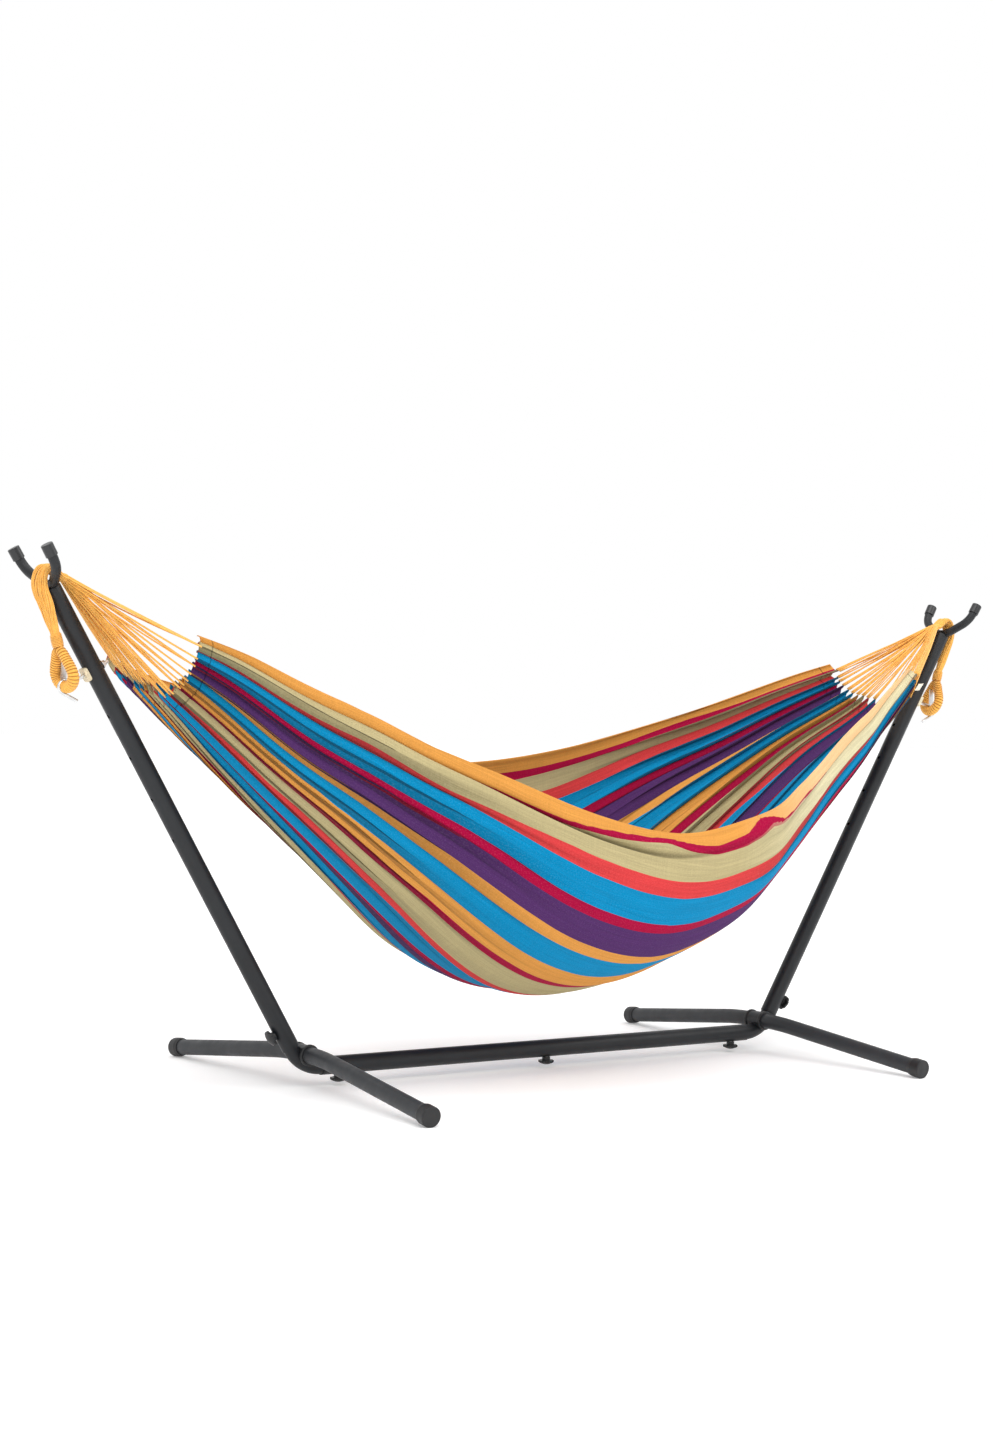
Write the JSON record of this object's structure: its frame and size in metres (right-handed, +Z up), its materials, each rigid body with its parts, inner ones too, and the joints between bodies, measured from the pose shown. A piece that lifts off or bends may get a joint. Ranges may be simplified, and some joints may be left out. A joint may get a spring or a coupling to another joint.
{
  "type": "hammock on stand",
  "caption": "Striped fabric hammock slung by rope rings between the forked uprights of a knock-down steel tube stand with splayed legs.",
  "frame": {"origin": "on the floor, under the middle of the stand", "axes": "+X along the stand to its right end, +Y to the back, +Z up"},
  "size_m": [2.7974, 1.147, 1.2006],
  "materials": {
    "stand_paint": "satin charcoal powder coat",
    "leg_paint": "satin charcoal powder coat, a shade lighter",
    "cap_rubber": "smooth black",
    "collar_plastic": "matte black",
    "knob_plastic": "matte black",
    "zinc_steel": "zinc plated",
    "saddle_plastic": "cream moulding",
    "rope": "twisted cotton, orange-yellow",
    "bed_cloth": "woven cotton, lengthwise stripes",
    "label_cloth": "cream woven tape, blank"
  },
  "bodies": {
    "stand": {"left_fork": "stand_paint", "left_upright": "stand_paint", "left_elbow": "stand_paint", "left_front_fork_cap": "cap_rubber", "left_front_leg": "leg_paint", "left_front_leg_collar": "collar_plastic", "left_front_foot_cap": "cap_rubber", "left_rear_fork_cap": "cap_rubber", "left_rear_leg": "leg_paint", "left_rear_leg_collar": "collar_plastic", "left_rear_foot_cap": "cap_rubber", "left_hook": "zinc_steel", "left_hook_washer": "zinc_steel", "left_hook_nut": "zinc_steel", "left_hook_saddle": "saddle_plastic", "left_rope_bundle": "rope", "left_rope_whipping": "rope", "left_rope_ring": "rope", "right_fork": "stand_paint", "right_upright": "stand_paint", "right_elbow": "stand_paint", "right_front_fork_cap": "cap_rubber", "right_front_leg": "leg_paint", "right_front_leg_collar": "collar_plastic", "right_front_foot_cap": "cap_rubber", "right_rear_fork_cap": "cap_rubber", "right_rear_leg": "leg_paint", "right_rear_leg_collar": "collar_plastic", "right_rear_foot_cap": "cap_rubber", "right_hook": "zinc_steel", "right_hook_washer": "zinc_steel", "right_hook_nut": "zinc_steel", "right_hook_saddle": "saddle_plastic", "right_rope_bundle": "rope", "right_rope_whipping": "rope", "right_rope_ring": "rope", "base_tube_left": "stand_paint", "base_tube_right": "stand_paint", "weld_nuts": "zinc_steel"},
    "hammock": {"bed_cloth": "bed_cloth", "left_end_strings": "rope", "right_end_strings": "rope", "care_label": "label_cloth"},
    "left_upright_screw": {"left_upright_knob": "knob_plastic", "left_upright_stud": "zinc_steel"},
    "right_upright_screw": {"right_upright_knob": "knob_plastic", "right_upright_stud": "zinc_steel"},
    "left_base_screw": {"left_base_knob": "knob_plastic", "left_base_stud": "zinc_steel"},
    "right_base_screw": {"right_base_knob": "knob_plastic", "right_base_stud": "zinc_steel"},
    "middle_base_screw": {"middle_base_knob": "knob_plastic", "middle_base_stud": "zinc_steel"}
  },
  "joints": [
    {"name": "hammock_swing", "type": "hinge", "parent": "stand", "child": "hammock", "pos_m": [0, 0, 1.131], "axis": [1, 0, 0], "range_deg": [-35, 35]},
    {"name": "left_upright_knob_turn", "type": "hinge", "parent": "stand", "child": "left_upright_screw", "pos_m": [-0.76743, 0, 0.12393], "axis": [-0.8565, 0, -0.5161], "range_deg": [0, 720]},
    {"name": "right_upright_knob_turn", "type": "hinge", "parent": "stand", "child": "right_upright_screw", "pos_m": [0.76743, 0, 0.12393], "axis": [0.8565, 0, -0.5161], "range_deg": [0, 720]},
    {"name": "left_base_knob_turn", "type": "hinge", "parent": "stand", "child": "left_base_screw", "pos_m": [-0.596, 0, 0.0264], "axis": [0, 0, -1], "range_deg": [0, 720]},
    {"name": "right_base_knob_turn", "type": "hinge", "parent": "stand", "child": "right_base_screw", "pos_m": [0.596, 0, 0.0264], "axis": [0, 0, -1], "range_deg": [0, 720]},
    {"name": "middle_base_knob_turn", "type": "hinge", "parent": "stand", "child": "middle_base_screw", "pos_m": [0, 0, 0.0264], "axis": [0, 0, -1], "range_deg": [0, 720]}
  ]
}
